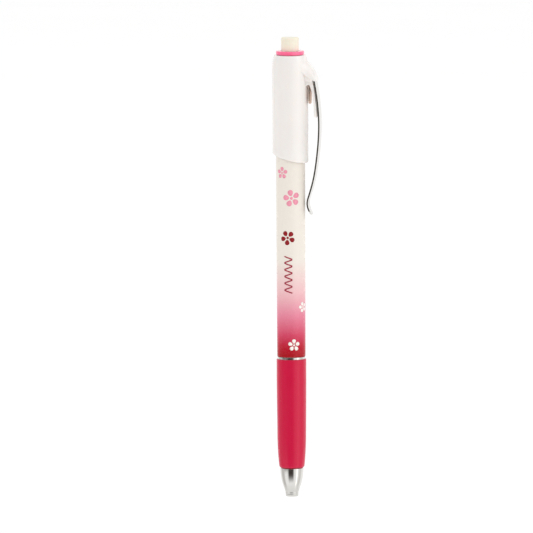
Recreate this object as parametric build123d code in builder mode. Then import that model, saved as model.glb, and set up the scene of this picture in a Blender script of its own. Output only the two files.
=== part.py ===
from build123d import *
import os
from math import atan, cos, degrees, radians, sin

# Fabric marking pencil: a mechanical pencil with a sliding lead pipe. Its cap is the push button, carries
# the pocket clip, and turns to wind a round eraser in and out.
#
# Frame: +Z runs along the pencil from tip to eraser, +X points at the clip, and the origin lies on the axis
# in the middle of the grip's straight band. All sizes are millimetres. Heights are measured from the tip, as
# on a drawing of the pencil, and up() turns a height into the frame's Z.

os.makedirs("parts", exist_ok=True)

# ---------------------------------------------------------------- driving dimensions

# Heights of the outside
CONE_TOP = 9.0
GRIP_LOW = 9.15
BAND_LOW = 36.6
BAND_HIGH = 43.2
RING_HIGH = 43.95
CAP_EDGE = 106.4
BARREL_TOP = 116.0
CAP_TOP = 138.5
RIM_LOW = 138.6
RIM_HIGH = 139.8
PENCIL_TOP = 144.0
ORIGIN_HEIGHT = (BAND_LOW + BAND_HIGH) / 2

# Radii of the outside
BAND_R = 4.65
BARREL_LOW_R = 4.43
BARREL_R = 4.55
RING_R = 4.42
CONE_R = 3.66
CAP_LOW_R = 5.58
CAP_R = 5.65
RIM_R = 4.42
ERASER_R = 2.75

# Travels
KNOCK_TRAVEL = 3.0
PIPE_TRAVEL = 4.0
ERASER_DOWN = 3.0
ERASER_UP = 12.0

# Clearances
RUNNING_GAP = 0.05
LOOSE_GAP = 0.15

# Lead and its path through the tip
LEAD_R = 0.45
LEAD_LENGTH = 60.0
LEAD_LOW = 0.6
PIPE_R = 0.65
PIPE_BORE_R = 0.5
PIPE_LOW = 0.3
SLIDER_R = 1.45
SLIDER_TOP = CONE_TOP
SLIDER_LOW = 5.6
BRAKE_R = 1.05
BRAKE_LOW = 7.4
BRAKE_TOP = 8.7

# Chuck, ring, spring and housing
CHUCK_LOW = 12.2
CHUCK_HEAD_R = 1.8
CHUCK_STEM_R = 1.2
CHUCK_TAPER_LOW = 12.9
CHUCK_TAPER_HIGH = 15.0
CHUCK_TOP = 29.4
RING_LOW = 13.9
RING_TOP = 15.9
CLUTCH_R = 2.35
SPIGOT_R = 2.95
SPIGOT_TOP = 14.5
HOUSING_LOW = 14.6
HOUSING_TOP = 24.0
HOUSING_R = SPIGOT_R + RUNNING_GAP
WEB_LOW = 16.2
WEB_TOP = 17.2
SPRING_TOP = 27.0
SPRING_R = 2.0
SPRING_WIRE_R = 0.22

# Reservoir
RESERVOIR_LOW = 28.0
RESERVOIR_TOP = 103.0
RESERVOIR_R = 2.8
RESERVOIR_BORE_R = 2.1
SPARE_LEAD_OFFSET = 1.1

# Barrel bores
GRIP_BORE_R = 3.45
BARREL_GUIDE_R = RESERVOIR_R + 0.08
BARREL_MIDDLE_R = 3.3
GUIDE_R = 3.55
BARREL_MOUTH_R = GUIDE_R + LOOSE_GAP
MOUTH_LOW = 95.0

# Eraser unit
GUIDE_BORE_R = 3.15
GUIDE_LOW = 98.5
GUIDE_LUG_LOW = 112.0
GUIDE_LUG_HIGH = 119.0
GUIDE_LUG_R = 4.3
GUIDE_LUG_WIDTH = 1.1
CARRIER_R = GUIDE_BORE_R - RUNNING_GAP
CARRIER_BORE_R = ERASER_R - 0.05
CARRIER_LOW = 121.5
CARRIER_HIGH = 126.3
CARRIER_FLOOR = 0.8
CARRIER_LUG = 124.1
CARRIER_LUG_HEIGHT = 1.5
CARRIER_LUG_WIDTH = 1.2
GROOVE_PITCH = 6.0
GROOVE_DEPTH = 0.5
GROOVE_WIDTH = 2.0
HELIX_LOW = 119.3
HELIX_HIGH = 137.9
HELIX_BORE_R = GUIDE_R + RUNNING_GAP
CAP_BORE_R = 4.72

# Cap edge: the sleeve is cut off by a tilted plane, lowest a little in front of the clip
CAP_EDGE_FALL = 1.54
CAP_EDGE_LOWEST_DEG = -18.0
CAP_SHOULDER = 133.5
CAP_TOP_R = 5.0

# Clip
CLIP_THICKNESS = 0.54
CLIP_ROOT_WIDTH = 4.1
CLIP_HEEL_WIDTH = 3.2
CLIP_TOP = 132.9
CLIP_TAPER_TOP = 128.5
CLIP_FOOT = 88.6
CLIP_HEEL = 92.3
CLIP_HEEL_X = 5.53
HOOD_HALF_WIDTH = 3.3
HOOD_NOSE_HALF_WIDTH = 2.5
TONGUE_HALF_WIDTH = 1.9
LEG_INNER_X = 6.05
LEG_OUTER_X = 6.6
LEG_LOW = 123.3
LEG_TOP = 131.0


# ---------------------------------------------------------------- helpers


def up(height):
    """The frame's Z at a height above the tip."""
    return height - ORIGIN_HEIGHT


def at(*points):
    """Points given as (distance from the axis, height above the tip), ready for the XZ plane."""
    return [(distance, up(height)) for distance, height in points]


def turned(*outline, mode=Mode.ADD):
    """Turns a straight-sided (radius, height) outline about the axis, into the open part."""
    with BuildSketch(Plane.XZ) as profile:
        with BuildLine():
            Polyline(*at(*outline), close=True)
        make_face()
    revolve(profile.sketch, axis=Axis.Z, mode=mode)


def ring(bore, radius, low, high, mode=Mode.ADD):
    """A plain tube between two heights, into the open part."""
    turned((bore, low), (radius, low), (radius, high), (bore, high), mode=mode)


def plate(*outline, half_width, mode=Mode.ADD):
    """A flat (X, height) outline, as thick each side of the XZ plane as half_width, into the open part."""
    with BuildSketch(Plane.XZ) as profile:
        with BuildLine():
            Polyline(*at(*outline), close=True)
        make_face()
    extrude(profile.sketch, amount=half_width, both=True, mode=mode)


def circles(builder, radius):
    """The open part's round edges of one radius."""
    round_edges = builder.edges().filter_by(GeomType.CIRCLE)
    return round_edges.filter_by(lambda edge: abs(edge.radius - radius) < 0.001)


# ---------------------------------------------------------------- barrel body

KEY_SLOT_WIDTH = GUIDE_LUG_WIDTH + 2 * RUNNING_GAP
KEY_SLOT_LOW = GUIDE_LUG_LOW - KNOCK_TRAVEL - 0.5
BARREL_STRAIGHT_LOW = 100.0
BARREL_STEP = 45.0
BARREL_EDGE_ROUND = 0.35

with BuildPart() as barrel:
    turned(
        (HOUSING_R, CONE_TOP),
        (GRIP_BORE_R, CONE_TOP),
        (GRIP_BORE_R, RING_HIGH),
        (BARREL_LOW_R, RING_HIGH),
        (BARREL_R, BARREL_STRAIGHT_LOW),
        (BARREL_R, BARREL_TOP),
        (BARREL_MOUTH_R, BARREL_TOP),
        (BARREL_MOUTH_R, MOUTH_LOW),
        (BARREL_MIDDLE_R, MOUTH_LOW),
        (BARREL_MIDDLE_R, BARREL_STEP),
        (BARREL_GUIDE_R, BARREL_STEP),
        (BARREL_GUIDE_R, HOUSING_TOP),
        (HOUSING_R, HOUSING_TOP),
    )
    fillet(circles(barrel, BARREL_LOW_R), BARREL_EDGE_ROUND)
    # Two key slots, open at the top, stop the eraser unit from turning with the cap
    with BuildSketch(Plane.XY.offset(up(KEY_SLOT_LOW))):
        Rectangle(4 * BARREL_R, KEY_SLOT_WIDTH)
    extrude(amount=BARREL_TOP - KEY_SLOT_LOW, mode=Mode.SUBTRACT)
barrel.part.label = "barrel"
export_step(barrel.part, "parts/barrel.step")

# The grip swells quickly above its rounded lower edge, then hardly at all up to the straight band
GRIP_FOOT = (GRIP_BORE_R + 0.05, GRIP_LOW)
GRIP_EDGE = (3.96, 9.9)
GRIP_EDGE_PULL = (3.9, 9.2)
GRIP_SWELL = (4.5, 18.4)
GRIP_SWELL_PULL = (4.4, 13.3)

with BuildPart() as rubber_grip:
    with BuildSketch(Plane.XZ):
        with BuildLine():
            Bezier(*at(GRIP_FOOT, GRIP_EDGE_PULL, GRIP_EDGE))
            Bezier(*at(GRIP_EDGE, GRIP_SWELL_PULL, GRIP_SWELL))
            Polyline(
                *at(
                    GRIP_SWELL,
                    (BAND_R, BAND_LOW),
                    (BAND_R, BAND_HIGH),
                    (GRIP_BORE_R, BAND_HIGH),
                    (GRIP_BORE_R, GRIP_LOW),
                    GRIP_FOOT,
                )
            )
        make_face()
    revolve(axis=Axis.Z)
rubber_grip.part.label = "rubber_grip"
export_step(rubber_grip.part, "parts/rubber_grip.step")

RING_ROUND = 0.12

with BuildPart() as trim_ring:
    ring(GRIP_BORE_R, RING_R, BAND_HIGH, RING_HIGH)
    fillet(circles(trim_ring, RING_R), RING_ROUND)
trim_ring.part.label = "trim_ring"
export_step(trim_ring.part, "parts/trim_ring.step")

SPRING_CHAMBER_R = 2.5
CLUTCH_SEAT_R = CLUTCH_R + 0.1
STEM_HOLE_R = CHUCK_STEM_R + LOOSE_GAP

with BuildPart() as chuck_housing:
    turned(
        (CLUTCH_SEAT_R, HOUSING_LOW),
        (HOUSING_R, HOUSING_LOW),
        (HOUSING_R, HOUSING_TOP),
        (SPRING_CHAMBER_R, HOUSING_TOP),
        (SPRING_CHAMBER_R, WEB_TOP),
        (STEM_HOLE_R, WEB_TOP),
        (STEM_HOLE_R, WEB_LOW),
        (CLUTCH_SEAT_R, WEB_LOW),
    )
chuck_housing.part.label = "chuck_housing"
export_step(chuck_housing.part, "parts/chuck_housing.step")

# ---------------------------------------------------------------- nose and lead pipe

NOZZLE_LOW_R = 1.95
NOZZLE_R = 2.08
NOZZLE_TOP = 1.5
TAPER_TOP = (2.75, 3.4)
CONE_PULL = (3.53, 5.6)
CONE_BEVEL = 0.15
CONE_EDGE = CONE_TOP - CONE_BEVEL
NOZZLE_ROUND = 0.25
PIPE_HOLE_R = PIPE_R + 0.07
SLIDER_BORE_R = SLIDER_R + RUNNING_GAP
SLIDER_STOP = SLIDER_LOW - PIPE_TRAVEL - 0.05
SLIDER_BORE_TOP = SLIDER_TOP + 0.1
CHUCK_BORE_R = CHUCK_HEAD_R + LOOSE_GAP
CHUCK_BORE_TOP = 12.6
THREAD_COUNT = 6
THREAD_PITCH = 0.7
THREAD_DEPTH = 0.2
THREAD_LOW = 10.0

with BuildPart() as nose_cone:
    with BuildSketch(Plane.XZ):
        with BuildLine():
            Polyline(*at((PIPE_HOLE_R, 0), (NOZZLE_LOW_R, 0), (NOZZLE_R, NOZZLE_TOP), TAPER_TOP))
            Bezier(*at(TAPER_TOP, CONE_PULL, (CONE_R, CONE_EDGE)))
            Polyline(
                *at(
                    (CONE_R, CONE_EDGE),
                    (CONE_R - CONE_BEVEL, CONE_TOP),
                    (SPIGOT_R, CONE_TOP),
                    (SPIGOT_R, SPIGOT_TOP),
                    (CLUTCH_SEAT_R, SPIGOT_TOP),
                    (CLUTCH_SEAT_R, CHUCK_BORE_TOP),
                    (CHUCK_BORE_R, CHUCK_BORE_TOP),
                    (CHUCK_BORE_R, SLIDER_BORE_TOP),
                    (SLIDER_BORE_R, SLIDER_BORE_TOP),
                    (SLIDER_BORE_R, SLIDER_STOP),
                    (PIPE_HOLE_R, SLIDER_STOP),
                    (PIPE_HOLE_R, 0),
                )
            )
        make_face()
    revolve(axis=Axis.Z)
    fillet(circles(nose_cone, NOZZLE_LOW_R), NOZZLE_ROUND)
    # Ring grooves stand for the screw thread on the spigot
    for turn in range(THREAD_COUNT):
        groove_height = THREAD_LOW + turn * THREAD_PITCH
        turned(
            (SPIGOT_R - THREAD_DEPTH, groove_height),
            (SPIGOT_R + 0.01, groove_height - THREAD_DEPTH),
            (SPIGOT_R + 0.01, groove_height + THREAD_DEPTH),
            mode=Mode.SUBTRACT,
        )
nose_cone.part.label = "nose_cone"
export_step(nose_cone.part, "parts/nose_cone.step")

with BuildPart() as tip_slider:
    turned(
        (PIPE_R, SLIDER_LOW),
        (SLIDER_R, SLIDER_LOW),
        (SLIDER_R, SLIDER_TOP),
        (BRAKE_R, SLIDER_TOP),
        (BRAKE_R, BRAKE_LOW),
        (PIPE_R, BRAKE_LOW),
    )
tip_slider.part.label = "tip_slider"
export_step(tip_slider.part, "parts/tip_slider.step")

with BuildPart() as lead_pipe:
    ring(PIPE_BORE_R, PIPE_R, PIPE_LOW, BRAKE_LOW)
lead_pipe.part.label = "lead_pipe"
export_step(lead_pipe.part, "parts/lead_pipe.step")

with BuildPart() as lead_brake:
    ring(LEAD_R + 0.01, BRAKE_R, BRAKE_LOW, BRAKE_TOP)
lead_brake.part.label = "lead_brake"
export_step(lead_brake.part, "parts/lead_brake.step")

LEAD_CHAMFER = 0.1

with BuildPart() as lead:
    turned(
        (0, LEAD_LOW),
        (LEAD_R - LEAD_CHAMFER, LEAD_LOW),
        (LEAD_R, LEAD_LOW + LEAD_CHAMFER),
        (LEAD_R, LEAD_LOW + LEAD_LENGTH),
        (0, LEAD_LOW + LEAD_LENGTH),
    )
lead.part.label = "lead"
export_step(lead.part, "parts/lead.step")

# ---------------------------------------------------------------- feed: chuck, ring, spring, reservoir

CHUCK_BORE = LEAD_R + 0.02
JAW_SLIT = 0.25
JAW_SLIT_TOP = 20.0
JAW_CHAMFER = 0.3

with BuildPart() as chuck:
    turned(
        (CHUCK_BORE, CHUCK_LOW),
        (CHUCK_HEAD_R - JAW_CHAMFER, CHUCK_LOW),
        (CHUCK_HEAD_R, CHUCK_LOW + JAW_CHAMFER),
        (CHUCK_HEAD_R, CHUCK_TAPER_LOW),
        (CHUCK_STEM_R, CHUCK_TAPER_HIGH),
        (CHUCK_STEM_R, CHUCK_TOP),
        (CHUCK_BORE, CHUCK_TOP),
    )
    # Three slits part the jaws
    with BuildSketch(Plane.XY.offset(up(CHUCK_LOW))):
        with PolarLocations(CHUCK_HEAD_R / 2, 3):
            Rectangle(CHUCK_HEAD_R + 0.1, JAW_SLIT)
    extrude(amount=JAW_SLIT_TOP - CHUCK_LOW, mode=Mode.SUBTRACT)
chuck.part.label = "chuck"
export_step(chuck.part, "parts/chuck.step")


def jaw_radius(height):
    """The chuck head's radius on its taper."""
    rise = (height - CHUCK_TAPER_LOW) / (CHUCK_TAPER_HIGH - CHUCK_TAPER_LOW)
    return CHUCK_HEAD_R + rise * (CHUCK_STEM_R - CHUCK_HEAD_R)


CLUTCH_FIT = 0.04
CLUTCH_CHAMFER = 0.15

with BuildPart() as clutch_ring:
    turned(
        (jaw_radius(RING_LOW) + CLUTCH_FIT, RING_LOW),
        (CLUTCH_R, RING_LOW),
        (CLUTCH_R, RING_TOP),
        (CHUCK_STEM_R + CLUTCH_FIT, RING_TOP),
        (CHUCK_STEM_R + CLUTCH_FIT, CHUCK_TAPER_HIGH),
    )
    chamfer(circles(clutch_ring, CLUTCH_R), CLUTCH_CHAMFER)
clutch_ring.part.label = "clutch_ring"
export_step(clutch_ring.part, "parts/clutch_ring.step")

SPRING_COILS = 7.5
SPRING_LOW = WEB_TOP + SPRING_WIRE_R
SPRING_HEIGHT = SPRING_TOP - WEB_TOP - 2 * SPRING_WIRE_R

with BuildPart() as chuck_spring:
    with BuildLine() as coil:
        Helix(
            pitch=SPRING_HEIGHT / SPRING_COILS,
            height=SPRING_HEIGHT,
            radius=SPRING_R,
            center=(0, 0, up(SPRING_LOW)),
        )
    with BuildSketch(Plane(origin=coil.line @ 0, z_dir=coil.line % 0)):
        Circle(SPRING_WIRE_R)
    sweep(path=coil.line, is_frenet=True)
chuck_spring.part.label = "chuck_spring"
export_step(chuck_spring.part, "parts/chuck_spring.step")

CONNECTOR_FLANGE_R = 2.4
CONNECTOR_TOP = 32.0
FUNNEL_LOW = 31.0
FUNNEL_R = 1.9
CONNECTOR_HOLE_R = 0.6

with BuildPart() as chuck_connector:
    turned(
        (CHUCK_STEM_R, SPRING_TOP),
        (CONNECTOR_FLANGE_R, SPRING_TOP),
        (CONNECTOR_FLANGE_R, RESERVOIR_LOW),
        (RESERVOIR_BORE_R, RESERVOIR_LOW),
        (RESERVOIR_BORE_R, CONNECTOR_TOP),
        (FUNNEL_R, CONNECTOR_TOP),
        (CONNECTOR_HOLE_R, FUNNEL_LOW),
        (CONNECTOR_HOLE_R, CHUCK_TOP),
        (CHUCK_STEM_R, CHUCK_TOP),
    )
chuck_connector.part.label = "chuck_connector"
export_step(chuck_connector.part, "parts/chuck_connector.step")

with BuildPart() as lead_reservoir:
    ring(RESERVOIR_BORE_R, RESERVOIR_R, RESERVOIR_LOW, RESERVOIR_TOP)
lead_reservoir.part.label = "lead_reservoir"
export_step(lead_reservoir.part, "parts/lead_reservoir.step")

with BuildPart() as spare_leads:
    with BuildSketch(Plane.XY.offset(up(CONNECTOR_TOP + 0.1))):
        with PolarLocations(SPARE_LEAD_OFFSET, 3):
            Circle(LEAD_R)
    extrude(amount=LEAD_LENGTH)
spare_leads.part.label = "spare_leads"
export_step(spare_leads.part, "parts/spare_leads.step")

# ---------------------------------------------------------------- eraser unit

GUIDE_FLOOR = 1.0
GUIDE_FLOOR_HOLE_R = 1.0
GUIDE_SKIRT_BORE_R = RESERVOIR_R + 0.06
RIM_BORE_R = ERASER_R + 0.2
CARRIER_SLOT_LOW = 120.0
CARRIER_SLOT_HIGH = 137.2
CARRIER_SLOT_WIDTH = CARRIER_LUG_WIDTH + 2 * RUNNING_GAP
RIM_ROUND = 0.3

with BuildPart() as guide_tube:
    turned(
        (GUIDE_SKIRT_BORE_R, GUIDE_LOW),
        (GUIDE_R, GUIDE_LOW),
        (GUIDE_R, RIM_LOW),
        (RIM_R, RIM_LOW),
        (RIM_R, RIM_HIGH),
        (RIM_BORE_R, RIM_HIGH),
        (RIM_BORE_R, RIM_LOW),
        (GUIDE_BORE_R, RIM_LOW),
        (GUIDE_BORE_R, RESERVOIR_TOP + GUIDE_FLOOR),
        (GUIDE_FLOOR_HOLE_R, RESERVOIR_TOP + GUIDE_FLOOR),
        (GUIDE_FLOOR_HOLE_R, RESERVOIR_TOP),
        (GUIDE_SKIRT_BORE_R, RESERVOIR_TOP),
    )
    fillet(circles(guide_tube, RIM_R), RIM_ROUND)
    # Straight slots along Y let the eraser carrier slide but not turn
    with BuildSketch(Plane.XY.offset(up(CARRIER_SLOT_LOW))):
        Rectangle(CARRIER_SLOT_WIDTH, 3 * GUIDE_R)
    extrude(amount=CARRIER_SLOT_HIGH - CARRIER_SLOT_LOW, mode=Mode.SUBTRACT)
    # Lugs along X run in the barrel's key slots and hold the helix sleeve up
    with BuildSketch(Plane.XY.offset(up(GUIDE_LUG_LOW))):
        Rectangle(2 * GUIDE_LUG_R, GUIDE_LUG_WIDTH)
        Circle(GUIDE_R - 0.2, mode=Mode.SUBTRACT)
    extrude(amount=GUIDE_LUG_HIGH - GUIDE_LUG_LOW)
guide_tube.part.label = "guide_tube"
export_step(guide_tube.part, "parts/guide_tube.step")

CARRIER_LUG_R = HELIX_BORE_R + GROOVE_DEPTH - RUNNING_GAP

with BuildPart() as eraser_carrier:
    turned(
        (0, CARRIER_LOW),
        (CARRIER_R, CARRIER_LOW),
        (CARRIER_R, CARRIER_HIGH),
        (CARRIER_BORE_R, CARRIER_HIGH),
        (CARRIER_BORE_R, CARRIER_LOW + CARRIER_FLOOR),
        (0, CARRIER_LOW + CARRIER_FLOOR),
    )
    with BuildSketch(Plane.XY.offset(up(CARRIER_LUG - CARRIER_LUG_HEIGHT / 2))):
        Rectangle(CARRIER_LUG_WIDTH, 2 * CARRIER_LUG_R)
        Circle(CARRIER_R - 0.1, mode=Mode.SUBTRACT)
    extrude(amount=CARRIER_LUG_HEIGHT)
eraser_carrier.part.label = "eraser_carrier"
export_step(eraser_carrier.part, "parts/eraser_carrier.step")

ERASER_ROUND = 0.2

with BuildPart() as eraser:
    turned(
        (0, CARRIER_LOW + CARRIER_FLOOR),
        (CARRIER_BORE_R, CARRIER_LOW + CARRIER_FLOOR),
        (CARRIER_BORE_R, CARRIER_HIGH),
        (ERASER_R, CARRIER_HIGH),
        (ERASER_R, PENCIL_TOP),
        (0, PENCIL_TOP),
    )
    eraser_rim = eraser.edges().group_by(Axis.Z)[-1]
    fillet(eraser_rim, ERASER_ROUND)
eraser.part.label = "eraser"
export_step(eraser.part, "parts/eraser.step")

# ---------------------------------------------------------------- cap

# The grooves reach a little past the carrier's lugs at both ends of its travel
GROOVE_OVERRUN = 0.36
GROOVE_LOW = CARRIER_LUG - ERASER_DOWN - GROOVE_OVERRUN
GROOVE_HIGH = CARRIER_LUG + ERASER_UP + GROOVE_OVERRUN
LUG_DEG = 90.0
GROOVE_START_DEG = LUG_DEG + 360.0 * (CARRIER_LUG - GROOVE_LOW) / GROOVE_PITCH
GROOVE_PATH = Helix(
    pitch=GROOVE_PITCH,
    height=GROOVE_HIGH - GROOVE_LOW,
    radius=HELIX_BORE_R,
    center=(0, 0, up(GROOVE_LOW)),
    lefthand=True,
)

with BuildPart() as helix_sleeve:
    ring(HELIX_BORE_R, CAP_BORE_R, HELIX_LOW, HELIX_HIGH)
    # Two left-handed grooves lift the carrier as the cap turns anticlockwise seen from above
    for start in (GROOVE_START_DEG, GROOVE_START_DEG + 180.0):
        with BuildLine() as groove:
            add(GROOVE_PATH, rotation=start)
        outward = Vector(cos(radians(start)), sin(radians(start)), 0)
        with BuildSketch(Plane(origin=groove.line @ 0, x_dir=outward, z_dir=groove.line % 0)):
            Rectangle(2 * GROOVE_DEPTH, GROOVE_WIDTH)
        sweep(path=groove.line, is_frenet=True, mode=Mode.SUBTRACT)
helix_sleeve.part.label = "helix_sleeve"
export_step(helix_sleeve.part, "parts/helix_sleeve.step")


# The clip: a strip that bows outwards, comes in to its heel and turns out again at the foot
CLIP_CENTRE = (
    (7.52, CLIP_TOP),
    (8.58, 126.8),
    (9.37, 116.4),
    (8.61, 106.3),
    (7.5, 99.6),
    (6.02, 94.4),
    (CLIP_HEEL_X, CLIP_HEEL),
    (5.86, 90.4),
    (6.8, CLIP_FOOT),
)
DIMPLE_DEPTH = 0.5
DIMPLE_R = 0.9
DIMPLE_TIP_R = 0.45

with BuildPart() as clip:
    with BuildSketch(Plane.XZ):
        with BuildLine():
            Spline(*at(*CLIP_CENTRE))
        trace(line_width=CLIP_THICKNESS)
    extrude(amount=CLIP_ROOT_WIDTH, both=True)
    # Seen from outside, the strip narrows from its root to its foot
    with BuildSketch(Plane.YZ):
        with BuildLine():
            Polyline(
                *at(
                    (-CLIP_ROOT_WIDTH / 2, CLIP_TOP + 1),
                    (-CLIP_ROOT_WIDTH / 2, CLIP_TAPER_TOP),
                    (-CLIP_HEEL_WIDTH / 2, CLIP_FOOT - 1),
                    (CLIP_HEEL_WIDTH / 2, CLIP_FOOT - 1),
                    (CLIP_ROOT_WIDTH / 2, CLIP_TAPER_TOP),
                    (CLIP_ROOT_WIDTH / 2, CLIP_TOP + 1),
                ),
                close=True,
            )
        make_face()
    extrude(amount=4 * BARREL_R, mode=Mode.INTERSECT)
    # A pressed dimple inside the heel holds on to cloth
    heel_inside = CLIP_HEEL_X - CLIP_THICKNESS / 2
    with BuildSketch(Plane(origin=(heel_inside + 0.05, 0, up(CLIP_HEEL)), z_dir=(-1, 0, 0))):
        Circle(DIMPLE_R)
    extrude(amount=DIMPLE_DEPTH + 0.05, taper=degrees(atan((DIMPLE_R - DIMPLE_TIP_R) / DIMPLE_DEPTH)))
clip.part.label = "clip"
export_step(clip.part, "parts/clip.step")


LEG_ROUND = 1.4
LEG_OUTLINE = (
    (LEG_INNER_X, LEG_LOW),
    (LEG_OUTER_X, LEG_LOW),
    (LEG_OUTER_X, LEG_TOP),
    (LEG_INNER_X, LEG_TOP),
)

with BuildPart() as clip_root:
    plate(*LEG_OUTLINE, half_width=TONGUE_HALF_WIDTH)
    leg_corners = clip_root.edges().filter_by(Axis.X).group_by(Axis.Z)[0]
    fillet(leg_corners, LEG_ROUND)
clip_root.part.label = "clip_root"
export_step(clip_root.part, "parts/clip_root.step")

# The hood bulges from the cap's shoulder over the clip's root
HOOD_START = (4.5, 137.5)
HOOD_PULL = (8.75, 133.7)
HOOD_MOUTH = (8.8, 130.4)
HOOD_UNDER_PULL = (6.5, 130.8)
HOOD_FOOT = (4.6, 133.1)
HOOD_INNER_X = CAP_BORE_R - 1
HOOD_CORNER_ROUND = 1.0
HOOD_CUT_HEIGHT = 10
CHEEK_OUTLINE = ((4.9, 130.6), (4.9, 133.6), (7.4, 131.6), (7.4, 130.2))
CHEEK_HALF_WIDTH = 2.4

with BuildPart() as hood:
    with BuildSketch(Plane.XZ):
        with BuildLine():
            Bezier(*at(HOOD_START, HOOD_PULL, HOOD_MOUTH))
            Bezier(*at(HOOD_MOUTH, HOOD_UNDER_PULL, HOOD_FOOT))
            Line(*at(HOOD_FOOT, HOOD_START))
        make_face()
    extrude(amount=HOOD_HALF_WIDTH, both=True)
    # Seen from above, the hood narrows outwards and its corners are round
    with BuildSketch(Plane.XY.offset(up(HOOD_MOUTH[1] - 1))) as hood_plan:
        with BuildLine():
            Polyline(
                (HOOD_INNER_X, -HOOD_HALF_WIDTH),
                (HOOD_MOUTH[0], -HOOD_NOSE_HALF_WIDTH),
                (HOOD_MOUTH[0], HOOD_NOSE_HALF_WIDTH),
                (HOOD_INNER_X, HOOD_HALF_WIDTH),
                close=True,
            )
        make_face()
        nose_corners = hood_plan.vertices().group_by(Axis.X)[-1]
        fillet(nose_corners, HOOD_CORNER_ROUND)
    extrude(amount=HOOD_CUT_HEIGHT, mode=Mode.INTERSECT)
    # Below it, cheeks close the sides of the slots for the clip's root and its folded leg
    plate(*CHEEK_OUTLINE, half_width=CHEEK_HALF_WIDTH)

# The tongue hangs from the sleeve below the hood, behind the clip. Its root and front are straight. Its
# round end, its back and the pointed arch over the clip's folded leg are curves, each pulled towards a
# middle point.
TONGUE_ROOT = (5.2, 128.6)
TONGUE_FRONT = (TONGUE_ROOT, (5.2, 132.4), (7.5, 131.6), (7.5, 130.4), (8.24, 125.8), (8.76, 119.7))
TONGUE_END = (8.3, 119.1)
TONGUE_BACK_LOW = (7.88, 119.6)
TONGUE_BACK_HIGH = (7.0, 127.6)
ARCH_TOP = (5.95, 129.4)

with BuildPart() as tongue:
    with BuildSketch(Plane.XZ):
        with BuildLine():
            Polyline(*at(*TONGUE_FRONT))
            Bezier(*at(TONGUE_FRONT[-1], (8.75, 119.1), TONGUE_END))
            Bezier(*at(TONGUE_END, (7.9, 119.1), TONGUE_BACK_LOW))
            Bezier(*at(TONGUE_BACK_LOW, (7.7, 125.4), TONGUE_BACK_HIGH))
            Bezier(*at(TONGUE_BACK_HIGH, (6.4, 129.6), ARCH_TOP))
            Bezier(*at(ARCH_TOP, (5.6, 129.3), TONGUE_ROOT))
        make_face()
    extrude(amount=TONGUE_HALF_WIDTH, both=True)

CAP_LOW = CAP_EDGE - CAP_EDGE_FALL - 1.0
CAP_EDGE_ROUND = 0.25
CAP_LIP_R = GUIDE_R + RUNNING_GAP
SHOULDER_PULL = (CAP_R, 136.8)
CLIP_SLOT = ((6.85, 133.3), (7.84, 133.3), (8.3, 130.3), (8.75, 127.0), (8.28, 127.0), (7.54, 130.5))
CLIP_SLOT_HALF_WIDTH = CLIP_ROOT_WIDTH / 2 + 0.06

with BuildPart() as cap_sleeve:
    with BuildSketch(Plane.XZ):
        with BuildLine():
            Polyline(*at((CAP_BORE_R, CAP_LOW), (CAP_LOW_R, CAP_LOW), (CAP_R, CAP_SHOULDER)))
            Bezier(*at((CAP_R, CAP_SHOULDER), SHOULDER_PULL, (CAP_TOP_R, CAP_TOP)))
            Polyline(
                *at(
                    (CAP_TOP_R, CAP_TOP),
                    (CAP_LIP_R, CAP_TOP),
                    (CAP_LIP_R, HELIX_HIGH),
                    (CAP_BORE_R, HELIX_HIGH),
                    (CAP_BORE_R, CAP_LOW),
                )
            )
        make_face()
    revolve(axis=Axis.Z)
    # The lower edge lies in a tilted plane
    fall = CAP_EDGE_FALL / CAP_LOW_R
    lowest = radians(CAP_EDGE_LOWEST_DEG)
    edge_normal = Vector(fall * cos(lowest), fall * sin(lowest), 1)
    split(bisect_by=Plane(origin=(0, 0, up(CAP_EDGE)), z_dir=edge_normal), keep=Keep.TOP)
    fillet(cap_sleeve.edges().group_by(Axis.Z)[0], CAP_EDGE_ROUND)
    add(hood.part)
    add(tongue.part)
    ring(0, CAP_BORE_R, CAP_LOW, HELIX_HIGH, mode=Mode.SUBTRACT)
    # Slot for the clip's root, with room inside it for the clip to lean outwards
    plate(*CLIP_SLOT, half_width=CLIP_SLOT_HALF_WIDTH, mode=Mode.SUBTRACT)
    # Slot for the clip's folded leg
    plate(*LEG_OUTLINE, half_width=TONGUE_HALF_WIDTH, mode=Mode.SUBTRACT)
cap_sleeve.part.label = "cap_sleeve"
export_step(cap_sleeve.part, "parts/cap_sleeve.step")
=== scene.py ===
import functools
import math

import bmesh
import bpy
import numpy as np
from mathutils import Matrix, Vector


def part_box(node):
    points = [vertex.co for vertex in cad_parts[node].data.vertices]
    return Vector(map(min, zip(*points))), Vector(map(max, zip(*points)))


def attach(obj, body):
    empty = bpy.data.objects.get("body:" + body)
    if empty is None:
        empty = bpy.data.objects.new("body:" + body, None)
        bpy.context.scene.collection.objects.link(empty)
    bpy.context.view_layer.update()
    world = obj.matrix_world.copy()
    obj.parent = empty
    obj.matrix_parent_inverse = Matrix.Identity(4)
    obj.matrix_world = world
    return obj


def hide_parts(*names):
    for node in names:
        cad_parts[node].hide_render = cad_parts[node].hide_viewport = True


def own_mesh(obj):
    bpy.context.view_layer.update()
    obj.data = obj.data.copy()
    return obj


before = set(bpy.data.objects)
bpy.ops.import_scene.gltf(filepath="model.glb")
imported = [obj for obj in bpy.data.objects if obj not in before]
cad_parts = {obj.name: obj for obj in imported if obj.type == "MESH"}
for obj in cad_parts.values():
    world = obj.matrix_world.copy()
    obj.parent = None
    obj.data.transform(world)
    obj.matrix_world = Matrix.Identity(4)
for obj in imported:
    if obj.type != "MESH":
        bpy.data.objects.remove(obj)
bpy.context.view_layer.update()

# Fabric marking pencil. Shapes are worked out in millimetres as (x, y, height above the tip), with +X towards
# the clip, and turned into the frame's metres when a piece is made.

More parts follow.
